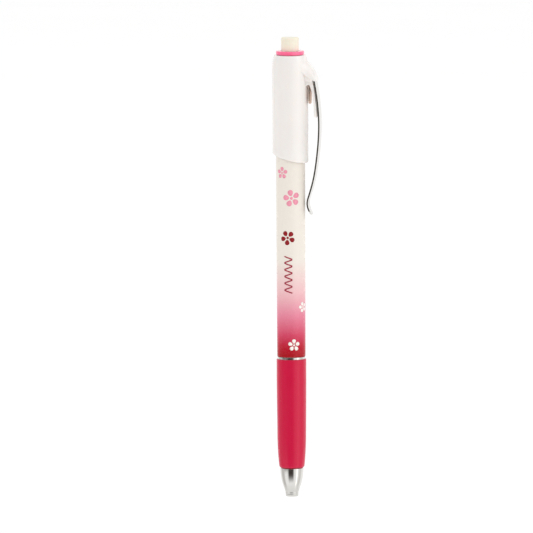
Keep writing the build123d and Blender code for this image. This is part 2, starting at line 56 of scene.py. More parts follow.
MM = 0.001
SEGMENTS = 192
SHARP_ANGLE = math.radians(32)


@functools.cache
def corner(node, which):
    """A CAD node's lowest (0) or highest (1) corner, in millimetres."""
    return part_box(node)[which] / MM


TIP = corner("nose_cone", 0).z


def top(node):
    return corner(node, 1).z - TIP


def bottom(node):
    return corner(node, 0).z - TIP


def radius(node):
    return corner(node, 1).x


# ---------------------------------------------------------------- meshes


def linked(name, data):
    """A new object in the scene, of a mesh, a lamp or a camera."""
    obj = bpy.data.objects.new(name, data)
    bpy.context.scene.collection.objects.link(obj)
    return obj


def plain_mesh(name, verts, faces):
    """An object from vertices in metres."""
    mesh = bpy.data.meshes.new(name)
    mesh.from_pydata(verts, [], faces)
    return linked(name, mesh)


def mesh_piece(name, verts, faces):
    """A smooth-shaded object from vertices in millimetres, with its sharp edges marked."""
    obj = plain_mesh(name, [(x * MM, y * MM, (h + TIP) * MM) for x, y, h in verts], faces)
    shape = bmesh.new()
    shape.from_mesh(obj.data)
    bmesh.ops.recalc_face_normals(shape, faces=shape.faces)
    shape.to_mesh(obj.data)
    shape.free()
    smooth(obj)
    return obj


def rings_of_faces(rows, around):
    """Faces between rows of vertices that each run once round."""
    faces = []
    for row in range(rows):
        low, high = row * around, (row + 1) * around
        for i in range(around):
            j = (i + 1) % around
            faces.append((low + i, low + j, high + j, high + i))
    return faces


def smooth(obj):
    for face in obj.data.polygons:
        face.use_smooth = True
    obj.data.set_sharp_from_angle(angle=SHARP_ANGLE)


def carve(obj, other, operation="DIFFERENCE"):
    """Cuts other out of obj, or joins it on, and removes it."""
    cut = obj.modifiers.new("carve", "BOOLEAN")
    cut.operation = operation
    cut.solver = "EXACT"
    cut.object = other
    bpy.context.view_layer.update()
    done = bpy.data.meshes.new_from_object(obj.evaluated_get(bpy.context.evaluated_depsgraph_get()))
    obj.modifiers.clear()
    obj.data = done
    bpy.data.objects.remove(other)
    smooth(obj)


def rounded(*corners, steps=6):
    """A closed outline of (radius, height) from corners (radius, height, rounding)."""
    points = []
    for index, (r, h, size) in enumerate(corners):
        here = Vector((r, h))
        if not size:
            points.append((r, h))
            continue
        back = (Vector(corners[index - 1][:2]) - here).normalized()
        ahead = (Vector(corners[(index + 1) % len(corners)][:2]) - here).normalized()
        half = back.angle(ahead) / 2
        centre = here + (back + ahead).normalized() * (size / math.sin(half))
        start = here + back * (size / math.tan(half)) - centre
        end = here + ahead * (size / math.tan(half)) - centre
        # A ring just before and after the arc keeps the flat faces beside it evenly shaded
        points.append(tuple(centre + start + back * size * 0.4))
        for step in range(steps + 1):
            points.append(tuple(centre + start.normalized().slerp(end.normalized(), step / steps) * size))
        points.append(tuple(centre + end + ahead * size * 0.4))
    return points


def curve_points(start, pull, end, steps=14):
    """Points inside a quadratic curve, as corners without rounding."""
    start, pull, end = Vector(start), Vector(pull), Vector(end)
    found = []
    for step in range(1, steps):
        t = step / steps
        point = start * (1 - t) ** 2 + pull * 2 * t * (1 - t) + end * t * t
        found.append((point.x, point.y, 0))
    return found


def turned(name, outline, shift=None, segments=SEGMENTS):
    """Turns a (radius, height) outline about the axis. shift(angle, height) moves a point along the axis."""
    verts, rings = [], []
    for r, h in outline:
        count = 1 if r < 1e-6 else segments
        rings.append([len(verts) + i for i in range(count)])
        for i in range(count):
            angle = 2 * math.pi * i / segments
            lift = shift(angle, h) if shift else 0
            verts.append((r * math.cos(angle), r * math.sin(angle), h + lift))
    faces = []
    for low, high in zip(rings, rings[1:] + rings[:1]):
        if len(low) == 1 and len(high) == 1:
            continue
        for i in range(segments):
            j = (i + 1) % segments
            if len(low) == 1:
                faces.append((low[0], high[j], high[i]))
            elif len(high) == 1:
                faces.append((low[i], low[j], high[0]))
            else:
                faces.append((low[i], low[j], high[j], high[i]))
    return mesh_piece(name, verts, faces)


def block(name, low, high):
    """A box between two corners, used only to cut slots."""
    (x0, y0, h0), (x1, y1, h1) = low, high
    verts = [(x, y, h) for x in (x0, x1) for y in (y0, y1) for h in (h0, h1)]
    faces = [(0, 1, 3, 2), (4, 6, 7, 5), (0, 4, 5, 1), (2, 3, 7, 6), (0, 2, 6, 4), (1, 5, 7, 3)]
    return mesh_piece(name, verts, faces)


def finished(obj, material, body, *nodes, slot=None):
    """Gives a piece its material, its body and the CAD nodes that it stands for."""
    obj.data.materials.clear()
    obj.data.materials.append(material)
    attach(obj, body)
    if nodes:
        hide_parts(*nodes)
    return obj


# ---------------------------------------------------------------- materials


def linear(red, green, blue):
    """A linear colour from an 8-bit one."""
    channels = []
    for value in (red, green, blue):
        value /= 255
        channels.append(value / 12.92 if value <= 0.04045 else ((value + 0.055) / 1.055) ** 2.4)
    return (*channels, 1.0)


class Finish:
    """A Principled material under construction; sizes of its textures are in millimetres."""

    def __init__(self, name, roughness, **sockets):
        self.material = bpy.data.materials.new(name)
        self.material.use_nodes = True
        self.tree = self.material.node_tree
        self.shader = self.tree.nodes["Principled BSDF"]
        self.shader.inputs["Roughness"].default_value = roughness
        for socket, value in sockets.items():
            self.shader.inputs[socket.replace("_", " ")].default_value = value
        self.place = self.tree.nodes.new("ShaderNodeTexCoord").outputs["Object"]

    def link(self, source, node, socket):
        self.tree.links.new(source, node.inputs[socket])

    def node(self, kind, **settings):
        made = self.tree.nodes.new(kind)
        for setting, value in settings.items():
            setattr(made, setting, value)
        return made

    def noise(self, size, detail=3.0, stretch=(1, 1, 1)):
        """A noise value with features of about that size, stretched along the axes."""
        mapping = self.node("ShaderNodeMapping")
        mapping.inputs["Scale"].default_value = [1 / (s * size * MM) for s in stretch]
        self.link(self.place, mapping, "Vector")
        texture = self.node("ShaderNodeTexNoise")
        texture.inputs["Scale"].default_value = 1.0
        texture.inputs["Detail"].default_value = detail
        self.link(mapping.outputs["Vector"], texture, "Vector")
        return texture.outputs["Fac"]

    def ranged(self, value, low, high, start=0.3, end=0.7):
        """The value's range from start to end, turned into low to high."""
        span = self.node("ShaderNodeMapRange")
        span.inputs["From Min"].default_value = start
        span.inputs["From Max"].default_value = end
        span.inputs["To Min"].default_value = low
        span.inputs["To Max"].default_value = high
        self.link(value, span, "Value")
        return span.outputs["Result"]

    def height(self, low, high):
        """0 at one height above the tip and 1 at another, in millimetres."""
        split = self.node("ShaderNodeSeparateXYZ")
        self.link(self.place, split, "Vector")
        return self.ranged(split.outputs["Z"], 0.0, 1.0, (TIP + low) * MM, (TIP + high) * MM)

    def ramp(self, value, stops):
        ramp = self.node("ShaderNodeValToRGB")
        elements = ramp.color_ramp.elements
        while len(elements) < len(stops):
            elements.new(0.5)
        for element, (place, colour) in zip(elements, stops):
            element.position = place
            element.color = colour
        self.link(value, ramp, "Fac")
        return ramp.outputs["Color"]

    def mixed(self, factor, first, second):
        """Mixes two colours, each a socket or a fixed colour."""
        mix = self.node("ShaderNodeMix", data_type="RGBA")
        self.link(factor, mix, "Factor")
        for index, colour in ((6, first), (7, second)):
            if isinstance(colour, tuple):
                mix.inputs[index].default_value = colour
            else:
                self.tree.links.new(colour, mix.inputs[index])
        return mix.outputs[2]

    def coloured(self, colour):
        self.link(colour, self.shader, "Base Color")
        return self

    def mottled(self, light, dark, size, detail=3.0, stretch=(1, 1, 1)):
        return self.coloured(self.mixed(self.noise(size, detail, stretch), light, dark))

    def worn(self, low, high, size, stretch=(1, 1, 1)):
        """Roughness that varies over the surface."""
        self.link(self.ranged(self.noise(size, 4.0, stretch), low, high), self.shader, "Roughness")
        return self

    def bumped(self, size, depth, detail=3.0, stretch=(1, 1, 1)):
        """Relief of that feature size and depth, both in millimetres."""
        bump = self.node("ShaderNodeBump")
        bump.inputs["Strength"].default_value = 1.0
        bump.inputs["Distance"].default_value = depth * MM
        self.link(self.noise(size, detail, stretch), bump, "Height")
        if self.shader.inputs["Normal"].links:
            self.tree.links.new(self.shader.inputs["Normal"].links[0].from_socket, bump.inputs["Normal"])
        self.link(bump.outputs["Normal"], self.shader, "Normal")
        return self


def plastic(name, light, dark, roughness, grain=4.0, depth=0.002, scatter=0.05):
    """Moulded plastic: faint colour mottling, slight waviness and uneven gloss."""
    finish = Finish(name, roughness, Subsurface_Weight=scatter, Subsurface_Scale=MM, IOR=1.5)
    finish.shader.inputs["Subsurface Radius"].default_value = (1.0, 0.8, 0.7)
    finish.mottled(light, dark, 6.0, 1.0)
    finish.worn(roughness * 0.94, roughness * 1.07, 7.0)
    finish.bumped(grain, depth, 1.0)
    return finish.material


def rim_plastic():
    """Clear pink plastic with a faint painted glow that brightens it beyond its lighting, and a shine on its
    rim.
    """
    # The emission is a painted glow: it lifts the pink where the lamps leave the rim too dim.
    finish = Finish("rim_pink", 0.15, Coat_Weight=0.5, Coat_Roughness=0.05, Emission_Strength=0.02)
    finish.shader.inputs["Emission Color"].default_value = linear(255, 110, 155)
    finish.mottled(linear(255, 112, 154), linear(253, 106, 148), 3.0, 1.0)
    finish.worn(0.12, 0.2, 2.0)
    finish.bumped(1.5, 0.004, 1.0)
    return finish.material


def barrel_plastic():
    """Cream plastic with a sprayed fade to crimson down to the trim ring, under a clear gloss."""
    finish = Finish("barrel_fade", 0.24, Coat_Weight=0.06, Coat_Roughness=0.08, Specular_IOR_Level=0.22)
    fade_low, fade_high = 43.9, 77.0
    # The spray's edge wanders a little and is dusted with fine drops
    drift = finish.node("ShaderNodeMath", operation="ADD")
    finish.link(finish.height(fade_low, fade_high), drift, 0)
    finish.link(finish.ranged(finish.noise(0.12, 2.0), -0.012, 0.012), drift, 1)

    def stop(height_mm, *colour):
        return ((height_mm - fade_low) / (fade_high - fade_low), linear(*colour))

    fade = finish.ramp(
        drift.outputs["Value"],
        [
            stop(44.2, 166, 0, 16),
            stop(47.3, 187, 14, 44),
            stop(51.0, 209, 68, 99),
            stop(57.3, 228, 134, 157),
            stop(64.8, 237, 192, 195),
            stop(74.5, 235, 228, 218),
        ],
    )
    speck = finish.ranged(finish.noise(0.5, 5.0), 0.0, 0.035, 0.45, 0.75)
    finish.coloured(finish.mixed(speck, fade, linear(228, 206, 198)))
    finish.worn(0.2, 0.3, 2.5)
    finish.bumped(1.5, 0.0012)
    return finish.material


def soft_grip():
    """Soft-touch crimson rubber: fine matt grain, a pale bloom at grazing angles, handling shine."""
    finish = Finish("soft_grip", 0.24, Sheen_Weight=0.4, Sheen_Roughness=0.25, Subsurface_Weight=0.04)
    finish.shader.inputs["Specular IOR Level"].default_value = 0.4
    finish.shader.inputs["Sheen Tint"].default_value = linear(255, 175, 215)
    finish.shader.inputs["Subsurface Scale"].default_value = 0.5 * MM
    finish.mottled(linear(206, 0, 62), linear(201, 0, 57), 3.0, 4.0)
    finish.worn(0.22, 0.28, 4.0, (1, 1, 2))
    finish.bumped(0.09, 0.003, 2.0)
    finish.bumped(2.2, 0.003)
    return finish.material


def chrome(name, tint=(232, 230, 226), roughness=0.05):
    """Bright plating: very smooth, with faint wiping marks and slight waviness."""
    finish = Finish(name, roughness, Metallic=1.0)
    finish.mottled(linear(*tint), linear(*(c - 8 for c in tint)), 2.0)
    finish.worn(roughness * 0.6, roughness * 1.8, 0.5, (1, 1, 6))
    finish.bumped(1.2, 0.0005)
    return finish.material


def turned_metal(name, light, dark, roughness=0.25):
    """Metal cut on a lathe: fine rings round the axis."""
    finish = Finish(name, roughness, Metallic=1.0)
    finish.mottled(light, dark, 0.6, 3.0, (8, 8, 0.15))
    finish.worn(roughness * 0.7, roughness * 1.4, 0.5, (8, 8, 0.2))
    finish.bumped(0.4, 0.003, 2.0, (20, 20, 0.15))
    return finish.material


def eraser_compound():
    """Matt cream rubber: extrusion streaks along its length, and a lighter tone painted down by the pink rim
    to offset the shade there.
    """
    finish = Finish("eraser_compound", 0.78, Subsurface_Weight=0.2, IOR=1.45)
    finish.shader.inputs["Subsurface Scale"].default_value = MM
    finish.shader.inputs["Subsurface Radius"].default_value = (1.2, 0.8, 0.5)
    streaks = finish.noise(0.5, 4.0, (1, 1, 14))
    # The foot's colours (low) are painted lighter than the top's (high): painted light against the shade by
    # the guide tube's rim.
    low = finish.mixed(streaks, linear(244, 244, 226), linear(240, 238, 220))
    high = finish.mixed(streaks, linear(238, 233, 215), linear(233, 227, 208))
    rise = finish.height(top("guide_tube") - 1, top("eraser"))
    finish.coloured(finish.mixed(rise, low, high))
    finish.worn(0.7, 0.9, 0.8)
    finish.bumped(0.16, 0.012, 4.0)
    finish.bumped(0.9, 0.012, 3.0, (1, 1, 6))
    return finish.material


def print_ink(name, colour, dark):
    """Screen-printed ink, a touch less glossy than the barrel."""
    finish = Finish(name, 0.34, Specular_IOR_Level=0.3)
    finish.mottled(linear(*colour), linear(*dark), 0.4, 4.0)
    finish.worn(0.3, 0.42, 0.3)
    finish.bumped(0.15, 0.002)
    return finish.material


def marking_lead():
    """Pressed ceramic lead: chalky, grainy and matt."""
    finish = Finish("marking_lead", 0.7)
    finish.mottled(linear(240, 130, 165), linear(222, 104, 142), 0.15, 4.0)
    finish.worn(0.6, 0.85, 0.2)
    finish.bumped(0.06, 0.006)
    return finish.material


# ---------------------------------------------------------------- shapes


def spline(points, step):
    """A natural cubic spline through points, sampled at each step, as (points, unit tangents, lengths)."""
    points = np.array(points, float)
    knots = np.concatenate([[0], np.cumsum(np.linalg.norm(np.diff(points, axis=0), axis=1))])
    gaps = np.diff(knots)
    count = len(points)
    system, right = np.eye(count), np.zeros((count, 2))
    for i in range(1, count - 1):
        system[i, i - 1 : i + 2] = gaps[i - 1], 2 * (gaps[i - 1] + gaps[i]), gaps[i]
        slopes = np.diff(points[i - 1 : i + 2], axis=0) / gaps[i - 1 : i + 1, None]
        right[i] = 6 * (slopes[1] - slopes[0])
    bends = np.linalg.solve(system, right)
    at = np.linspace(0, knots[-1], int(knots[-1] / step) + 1)
    found = []
    for place in at:
        i = min(np.searchsorted(knots, place, side="right") - 1, count - 2)
        a, b = (knots[i + 1] - place) / gaps[i], (place - knots[i]) / gaps[i]
        bow = ((a**3 - a) * bends[i] + (b**3 - b) * bends[i + 1]) * gaps[i] ** 2 / 6
        found.append(a * points[i] + b * points[i + 1] + bow)
    found = np.array(found)
    tangents = np.gradient(found, axis=0)
    return found, tangents / np.linalg.norm(tangents, axis=1)[:, None], at


def loft(name, rings):
    """Joins rings of equal length into a skin, closed at both ends."""
    count = len(rings[0])
    verts = [point for ring in rings for point in ring]
    faces = [tuple(range(count)), tuple(range(len(verts) - count, len(verts)))]
    return mesh_piece(name, verts, faces + rings_of_faces(len(rings) - 1, count))


def plate(name, outline, half_width, edge):
    """A flat piece with an (x, height) outline, seen along Y, and rounded rims."""
    count = len(outline)
    verts = [(x, y, h) for y in (-half_width, half_width) for x, h in outline]
    faces = [tuple(range(count)), tuple(range(count, 2 * count))]
    faces += [(i, (i + 1) % count, count + (i + 1) % count, count + i) for i in range(count)]
    obj = mesh_piece(name, verts, faces)
    if edge:
        shape = bmesh.new()
        shape.from_mesh(obj.data)
        rims = [e for e in shape.edges if abs(e.verts[0].co.y - e.verts[1].co.y) < 1e-7]
        bmesh.ops.bevel(shape, geom=rims, offset=edge * MM, segments=3, profile=0.5, affect="EDGES")
        shape.to_mesh(obj.data)
        shape.free()
        smooth(obj)
    return obj


BARREL_FOOT = 43.95
BARREL_WIDE = 100.0


def barrel_radius(h):
    share = min(max((h - BARREL_FOOT) / (BARREL_WIDE - BARREL_FOOT), 0), 1)
    return 4.43 + (radius("barrel") - 4.43) * share


def make_barrel():
    neck, rear = 3.45, 3.7
    outline = rounded(
        (neck, bottom("barrel"), 0.15),
        (neck, BARREL_FOOT, 0),
        (barrel_radius(BARREL_FOOT), BARREL_FOOT, 0.35),
        (radius("barrel"), BARREL_WIDE, 0),
        (radius("barrel"), top("barrel"), 0.2),
        (rear, top("barrel"), 0.2),
        (rear, 95.0, 0),
        (3.3, 95.0, 0),
        (3.3, 45.0, 0),
        (2.88, 45.0, 0),
        (2.88, 24.0, 0),
        (3.0, 24.0, 0),
        (3.0, bottom("barrel"), 0.15),
    )
    barrel = turned("barrel_shell", outline)
    for side in (-1, 1):
        low = (min(side * 2.5, side * 6), -0.6, 108.5)
        high = (max(side * 2.5, side * 6), 0.6, 118.0)
        carve(barrel, block("key_slot", low, high))
    return barrel


def make_grip():
    foot, head, bore = bottom("rubber_grip"), top("rubber_grip"), 3.45
    outline = rounded(
        (bore, foot, 0),
        (3.55, foot, 0),
        *curve_points((3.55, foot), (3.95, foot), (3.99, 9.9), 8),
        (3.99, 9.9, 0),
        *curve_points((3.99, 9.9), (4.4, 13.3), (4.5, 18.4), 20),
        (4.5, 18.4, 0),
        (4.6, 29.0, 0),
        (radius("rubber_grip"), 36.6, 0),
        (radius("rubber_grip"), head, 0.12),
        (bore, head, 0),
    )
    return turned("grip_sleeve", outline)


def make_trim_ring():
    foot, head, bore, rim = bottom("trim_ring"), top("trim_ring"), 3.45, radius("trim_ring")
    outline = rounded((bore, foot, 0), (rim, foot, 0.12), (rim, head, 0.12), (bore, head, 0))
    return turned("trim_band", outline)


def make_nose_cone():
    """The plated cone with its hidden threaded spigot; a fine turned line runs round its tip."""
    spigot, groove = 2.95, 0.2
    outline = [
        (0.72, 0.0, 0.1),
        (1.95, 0.0, 0.25),
        (2.0, 0.62, 0),
        (1.95, 0.68, 0),
        (2.01, 0.74, 0),
        (2.08, 1.5, 0.4),
        (2.75, 3.4, 0),
        *curve_points((2.75, 3.4), (3.53, 5.6), (3.66, 8.85), 24),
        (3.66, 8.85, 0.06),
        (3.51, 9.0, 0),
        (spigot, 9.0, 0),
    ]
    for turn in range(6):
        low = 10.0 + 0.7 * turn
        outline += [(spigot, low - 0.18, 0), (spigot - groove, low, 0), (spigot, low + 0.18, 0)]
    outline += [
        (spigot, top("nose_cone"), 0.1),
        (2.45, top("nose_cone"), 0),
        (2.45, 12.6, 0),
        (1.95, 12.6, 0),
        (1.95, 9.1, 0),
        (1.5, 9.1, 0),
        (1.5, 1.55, 0),
        (0.72, 1.55, 0),
    ]
    return turned("tip_cone", rounded(*outline))


CLIP_LINE = [
    (7.52, 132.9),
    (8.58, 126.8),
    (9.37, 116.4),
    (8.61, 106.3),
    (7.5, 99.6),
    (6.02, 94.4),
    (5.53, 92.3),
    (5.86, 90.4),
    (6.8, 88.6),
]


def strip_section(half_width, half_thick, edge, across=20):
    """A flat strip's (across, outwards) outline, its faces divided and its edges rounded."""
    section = []
    for way in (1, -1):
        for step in range(across + 1):
            section.append((way * (half_width - edge) * (2 * step / across - 1), way * half_thick))
        for side, first in ((way, 90), (-way, 0)):
            for quarter in range(4):
                turn = math.radians(first - 30 * quarter + (180 if way < 0 else 0))
                y = way * (half_width - edge) + edge * math.cos(turn)
                section.append((y, side * (half_thick - edge) + edge * math.sin(turn)))
    return section


def make_clip():
    """The sprung strip: softly rounded edges, a tapering width, a rounded foot and a pressed dimple."""
    half_thick, edge, tip_half = 0.27, 0.06, 0.25
    head, foot, taper_top = 2.05, 1.6, 128.5
    dimple_height, dimple_depth, dimple_flat, dimple_slope = 92.3, 0.22, 0.3, 0.75
    line, tangents, along = spline(CLIP_LINE, 0.16)
    centre = along[np.argmin(np.abs(line[:, 1] - dimple_height))]
    rings = []
    for (x, h), (tx, th), place in zip(line, tangents, along):
        out = np.array([-th, tx]) * (-1 if -th < 0 else 1)
        half = head + (foot - head) * min(max((taper_top - h) / (taper_top - CLIP_LINE[-1][1]), 0), 1)
        left = along[-1] - place
        if left < foot:
            half = tip_half + (half - tip_half) * math.sqrt(max(1 - (1 - left / foot) ** 2, 0))
        ring = []
        for y, n in strip_section(half, half_thick, edge):
            spread = math.hypot(place - centre, y)
            push = dimple_depth * (1 - ease(spread, dimple_flat, dimple_flat + dimple_slope))
            ring.append((x + out[0] * (n - push), y, h + out[1] * (n - push)))
        rings.append(ring)
    return loft("spring_clip", rings)


def make_hood():
    """The cap's moulded hood over the clip's head, as cross-sections from inside the sleeve to its lip."""
    ridge = [(3.0, 138.2), (4.5, 137.5)]
    ridge += [p[:2] for p in curve_points((4.5, 137.5), (8.75, 133.7), (8.8, 130.5), 24)]
    ridge += [(8.8, 130.5)]
    under = [(3.0, 134.0), (4.6, 133.0)]
    under += [p[:2] for p in curve_points((4.6, 133.0), (6.5, 130.8), (8.6, 130.42), 16)]
    under += [(8.8, 130.44)]
    blend = 3.0
    ridge_x, ridge_h = zip(*sorted(ridge))
    under_x, under_h = zip(*sorted(under))
    rings = []
    for step in range(41):
        x = 3.0 + 5.8 * math.sin(math.pi / 2 * step / 40)
        high, low = np.interp(x, ridge_x, ridge_h), np.interp(x, under_x, under_h)
        half = 3.15 - 0.65 * min(max((x - 5.2) / 3.6, 0), 1)
        half -= 1.0 - math.sqrt(1 - min(max(x - 7.8, 0), 1) ** 2)
        # Each flank sweeps out to meet the sleeve
        half += blend - math.sqrt(blend**2 - min(max(6.2 - x, 0), blend) ** 2)
        half = min(half, math.sqrt(5.55**2 - min(x, 4.0) ** 2))
        turn = min(0.4, (high - low) / 3)
        ring = []
        for angle in (math.radians(3 * step) for step in range(61)):
            c, s = math.cos(angle), math.sin(angle)
            y = half * math.copysign(abs(c) ** 0.72, c)
            ring.append((x, y, low + turn + (high - low - turn) * s**0.8))
        for angle in arc(180, 270, 5):
            ring.append((x, -half + turn + turn * math.cos(angle), low + turn + turn * math.sin(angle)))
        ring += [(x, (half - turn) * share, low) for share in (-1, -0.6, -0.2, 0.2, 0.6, 1)]
        for angle in arc(270, 360, 5):
            ring.append((x, half - turn + turn * math.cos(angle), low + turn + turn * math.sin(angle)))
        rings.append(ring)
    return loft("hood", rings)


def make_cap():
    """The white cap: slanted lower rim, domed top, hood and tongue, a bore and a slot for the clip."""
    bore, lip = 4.72, 3.6
    low, high = 106.4, top("cap_sleeve")
    outline = rounded(
        (0, low, 0),
        (5.58, low, 0.25),
        (5.58, 112.0, 0),
        (5.65, 133.5, 0),
        *curve_points((5.65, 133.5), (5.65, 136.8), (5.0, high), 20),
        (5.0, high, 0.12),
        (0, high, 0),
    )
    slant = 1.54

    def tilt(angle, h):
        return -slant * math.cos(angle + math.radians(18)) * min(max((112.0 - h) / (112.0 - low), 0), 1)

    cap = turned("cap_shell", outline, tilt)
    carve(cap, make_hood(), "UNION")
    tongue = [(5.2, 128.6), (5.2, 132.4), (7.5, 131.6), (7.5, 130.4)]
    tongue += [p[:2] for p in curve_points((7.5, 130.4), (8.28, 125.8), (8.76, 119.7), 14)]
    tongue += [(8.76, 119.55), (8.6, 119.2), (8.3, 119.08), (8.0, 119.25), (7.88, 119.6)]
    tongue += [p[:2] for p in curve_points((7.88, 119.6), (7.7, 125.4), (7.0, 127.6), 14)]
    tongue += [(7.0, 127.6)]
    tongue += [p[:2] for p in curve_points((7.0, 127.6), (6.4, 129.6), (5.95, 129.4), 10)]
    tongue += [(5.95, 129.4)]
    carve(cap, plate("tongue", tongue, 1.9, 0.14), "UNION")
    cheek = [(4.9, 130.5), (4.9, 133.6), (7.4, 131.6), (7.4, 130.1)]
    carve(cap, plate("cheek", cheek, 2.72, 0.2), "UNION")
    below, ceiling, above = 100.0, high - 0.6, high + 2
    hollow = [(0, below), (bore, below), (bore, ceiling), (lip, ceiling), (lip, above), (0, above)]
    carve(cap, turned("cap_hollow", hollow))
    slot = [(6.95, 133.0), (7.8, 133.0), (8.25, 130.3), (8.75, 127.0), (8.28, 127.0), (7.54, 130.5)]
    carve(cap, plate("clip_slot", slot, 2.11, 0))
    return cap


def make_clip_root():
    """The clip's folded leg, seen between the sleeve and the tongue, with rounded lower corners."""
    low, high = bottom("clip_root"), top("clip_root")
    inner, outer = corner("clip_root", 0).x, corner("clip_root", 1).x
    half, turn = 1.75, 1.3
    rim = [(-half, high), (-half, low + turn)]
    rim += [(-half + turn - turn * math.cos(a), low + turn - turn * math.sin(a)) for a in arc(0, 90)]
    rim += [(half - turn + turn * math.cos(a), low + turn - turn * math.sin(a)) for a in arc(90, 0)]
    rim += [(half, low + turn), (half, high)]
    rings = []
    for x, inset in ((inner, 0.06), (inner + 0.06, 0), (outer - 0.06, 0), (outer, 0.06)):
        middle = (low + high) / 2
        ring = []
        for y, h in rim:
            ring.append((x, y * (1 - inset / half), middle + (h - middle) * (1 - inset / (high - middle))))
        rings.append(ring)
    return loft("clip_leg", rings)


def arc(start, end, steps=8):
    """Angles in radians from one number of degrees to another, ends left out."""
    return [math.radians(start + (end - start) * step / steps) for step in range(1, steps)]


def make_spring():
    """The return spring: an open coil of round wire with closed ends."""
    wire, coils, per_turn, sides = 0.22, 7.5, 48, 12
    wide = radius("chuck_spring") - wire
    low, rise = bottom("chuck_spring") + wire, top("chuck_spring") - bottom("chuck_spring") - 2 * wire
    lean = math.atan(rise / coils / (2 * math.pi * wide))
    rings = []
    for step in range(int(coils * per_turn) + 1):
        share = step / (coils * per_turn)
        angle = 2 * math.pi * coils * share
        ring = []
        for side in range(sides):
            turn = 2 * math.pi * side / sides
            out, up = wire * math.cos(turn), wire * math.sin(turn)
            back = up * math.sin(lean)
            x = (wide + out) * math.cos(angle) + back * math.sin(angle)
            y = (wide + out) * math.sin(angle) - back * math.cos(angle)
            ring.append((x, y, low + rise * share + up * math.cos(lean)))
        rings.append(ring)
    return loft("return_spring", rings)


def make_eraser():
    """The eraser stick, its top edge worn round and very slightly lopsided."""
    wide = radius("eraser")
    outline = rounded(
        (0, bottom("eraser"), 0),
        (2.7, bottom("eraser"), 0.1),
        (2.7, 126.35, 0),
        (wide, 126.45, 0),
        (wide, top("eraser"), 0.18),
        (1.4, top("eraser"), 0),
        (0, top("eraser"), 0),
        steps=8,
    )

    def wear(angle, h):
        return -0.03 * (1 + math.sin(angle + 0.7)) * (h > top("eraser") - 0.5)

    return turned("eraser_stick", outline, wear)


# ---------------------------------------------------------------- printed marks


def printed(name, marks, ink):
    """Thin raised prints on the barrel. A mark is (angle in degrees, height, outlines of (across, up))."""
    shape = bmesh.new()
    for degrees, height, outlines in marks:
        flat = bmesh.new()
        for outline in outlines:
            flat.faces.new([flat.verts.new((across, up, 0)) for across, up in outline])
        reach = max(abs(vert.co.x) for vert in flat.verts)
        strips = int(2 * reach / 0.22) + 1
        for cut in range(1, strips):
            bmesh.ops.bisect_plane(
                flat,
                geom=flat.verts[:] + flat.edges[:] + flat.faces[:],
                plane_co=(-reach + 2 * reach * cut / strips, 0, 0),
                plane_no=(1, 0, 0),
            )
        placed = {}
        for vert in flat.verts:
            h = height + vert.co.y
            wide = barrel_radius(h) + 0.02
            angle = math.radians(degrees) + vert.co.x / wide
            spot = (wide * math.cos(angle) * MM, wide * math.sin(angle) * MM, (h + TIP) * MM)
            placed[vert] = shape.verts.new(spot)
        for face in flat.faces:
            shape.faces.new([placed[vert] for vert in face.verts])
        flat.free()
    mesh = bpy.data.meshes.new(name)
    shape.to_mesh(mesh)
    shape.free()
    obj = linked(name, mesh)
    thick = obj.modifiers.new("ink thickness", "SOLIDIFY")
    thick.thickness = 0.06 * MM
    thick.offset = -1
    smooth(obj)
    return finished(obj, ink, "barrel", slot="barrel")


def blossom(size, spin=0.0):
    """Five equal round petals about a small centre."""
    outlines = []
    for petal in range(5):
        way = math.radians(90 + spin + 72 * petal)
        outline = []
        for step in range(20):
            turn = 2 * math.pi * step / 20
            along = size * (0.3 + 0.17 * math.cos(turn))
            aside = size * 0.145 * math.sin(turn) * (1 + 0.25 * math.cos(turn))
            x = along * math.cos(way) - aside * math.sin(way)
            outline.append((x, along * math.sin(way) + aside * math.cos(way)))
        outlines.append(outline)
    middle = [math.radians(24 * step) for step in range(15)]
    outlines.append([(size * 0.08 * math.cos(a), size * 0.08 * math.sin(a)) for a in middle])
    return outlines


def stitches(length, count):
    """A zigzag line of running stitches up the barrel."""
    outlines = []
    for stitch in range(count):
        low = -length / 2 + length * stitch / count
        way = 1 if stitch % 2 else -1
        start, end = Vector((-way * 1.15, low + 0.12)), Vector((way * 1.15, low + length / count - 0.12))
        ahead = (end - start).normalized() * 0.18
        aside = Vector((-ahead.y, ahead.x))
        rim = (start - aside, start - ahead, start + aside, end + aside, end + ahead, end - aside)
        outlines.append([tuple(point) for point in rim])
    return outlines


def make_prints():
    pink = print_ink("pink_ink", (245, 158, 180), (242, 150, 172))
    red = print_ink("crimson_ink", (152, 8, 22), (143, 5, 18))
    rose = print_ink("rose_ink", (172, 44, 68), (164, 38, 60))
    white = print_ink("white_ink", (253, 251, 243), (250, 247, 238))
    printed(
        "pink_blossoms",
        [
            (-115, 101.9, blossom(4.0)),
            (-76, 94.0, blossom(5.6, 12)),
            (48, 97.0, blossom(4.4, 20)),
            (135, 90.0, blossom(5.2)),
        ],
        pink,
    )
    printed("crimson_blossoms", [(-92, 81.6, blossom(4.9, 30)), (92, 77.5, blossom(4.6))], red)
    printed("running_stitch", [(-90, 70.0, stitches(11.7, 11))], rose)
    printed(
        "white_blossoms",
        [
            (-25, 59.7, blossom(3.5, 15)),
            (-68, 47.9, blossom(4.0)),
            (70, 62.0, blossom(4.2, 8)),
            (158, 52.0, blossom(3.8, 25)),
        ],
        white,
    )


# ---------------------------------------------------------------- stage


